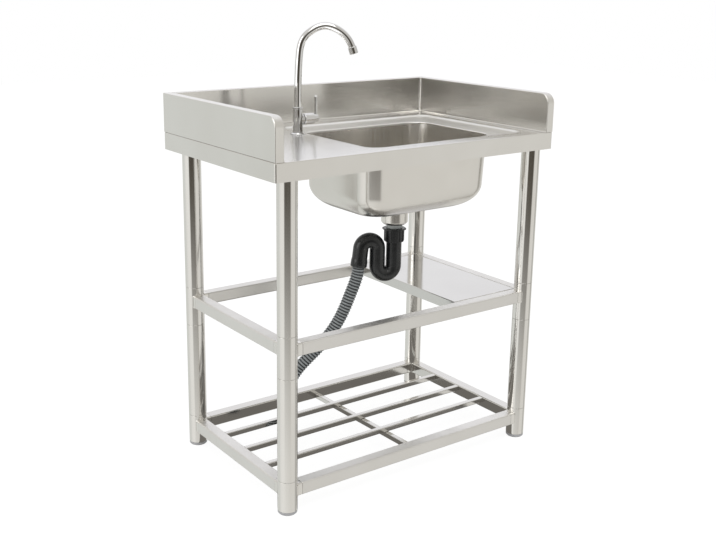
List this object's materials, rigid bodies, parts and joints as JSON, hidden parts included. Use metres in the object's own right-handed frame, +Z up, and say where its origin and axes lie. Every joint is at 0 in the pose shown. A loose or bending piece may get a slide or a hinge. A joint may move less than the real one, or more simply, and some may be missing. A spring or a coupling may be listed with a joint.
{
  "type": "free-standing kitchen sink unit",
  "caption": "Free-standing stainless steel sink unit with one bowl, upstands, gooseneck tap, half shelf, bar rack and waste trap with a ribbed hose.",
  "frame": {"origin": "on the floor, under the middle of the worktop", "axes": "+X to the right along the front, +Y to the back, +Z up"},
  "size_m": [0.8, 0.5, 1.062],
  "materials": {
    "brushed_steel_sheet": "satin",
    "polished_steel": "polished",
    "chrome": "polished",
    "black_plastic": "gloss",
    "grey_hose": "matte",
    "rubber_seal": "matte",
    "foot_plastic": "matte"
  },
  "bodies": {
    "sink_unit": {"worktop": "brushed_steel_sheet", "left_upstand": "brushed_steel_sheet", "right_upstand": "brushed_steel_sheet", "rear_upstand": "brushed_steel_sheet", "sink_bowl": "brushed_steel_sheet", "waste_cup": "brushed_steel_sheet", "waste_flange": "polished_steel", "waste_screw": "polished_steel", "half_shelf": "polished_steel", "rack_bar_front": "polished_steel", "rack_bar_middle": "polished_steel", "rack_bar_rear": "polished_steel", "rack_cross_bar": "polished_steel", "waste_seal": "rubber_seal", "trap_washer": "rubber_seal", "trap_nut": "black_plastic", "trap_pipe": "black_plastic", "drain_hose": "grey_hose", "hose_cuff": "grey_hose", "leg_socket_front_left": "brushed_steel_sheet", "upper_leg_front_left": "polished_steel", "mid_connector_front_left": "polished_steel", "lower_leg_front_left": "polished_steel", "base_connector_front_left": "polished_steel", "foot_front_left": "foot_plastic", "leg_socket_front_right": "brushed_steel_sheet", "upper_leg_front_right": "polished_steel", "mid_connector_front_right": "polished_steel", "lower_leg_front_right": "polished_steel", "base_connector_front_right": "polished_steel", "foot_front_right": "foot_plastic", "leg_socket_rear_left": "brushed_steel_sheet", "upper_leg_rear_left": "polished_steel", "mid_connector_rear_left": "polished_steel", "lower_leg_rear_left": "polished_steel", "base_connector_rear_left": "polished_steel", "foot_rear_left": "foot_plastic", "leg_socket_rear_right": "brushed_steel_sheet", "upper_leg_rear_right": "polished_steel", "mid_connector_rear_right": "polished_steel", "lower_leg_rear_right": "polished_steel", "base_connector_rear_right": "polished_steel", "foot_rear_right": "foot_plastic", "mid_rail_front": "polished_steel", "mid_rail_rear": "polished_steel", "mid_rail_left": "polished_steel", "mid_rail_right": "polished_steel", "base_rail_front": "polished_steel", "base_rail_rear": "polished_steel", "base_rail_left": "polished_steel", "base_rail_right": "polished_steel", "tap_flange": "chrome", "tap_body": "chrome", "tap_valve": "chrome", "tap_shank": "chrome", "tap_nut": "chrome"},
    "spout": {"tap_spout": "chrome", "tap_aerator": "chrome"},
    "lever": {"tap_lever": "chrome"},
    "basket": {"strainer_basket": "polished_steel"}
  },
  "joints": [
    {"name": "spout_swivel", "type": "hinge", "parent": "sink_unit", "child": "spout", "pos_m": [-0.1455, 0.054, 0.87], "axis": [0, 0, 1], "continuous": true},
    {"name": "lever_turn", "type": "hinge", "parent": "sink_unit", "child": "lever", "pos_m": [-0.1455, 0.054, 0.8345], "axis": [1, 0, 0], "range_deg": [0, 90]},
    {"name": "basket_lift", "type": "slide", "parent": "sink_unit", "child": "basket", "axis": [0, 0, 1], "range_m": [0, 0.2]}
  ]
}
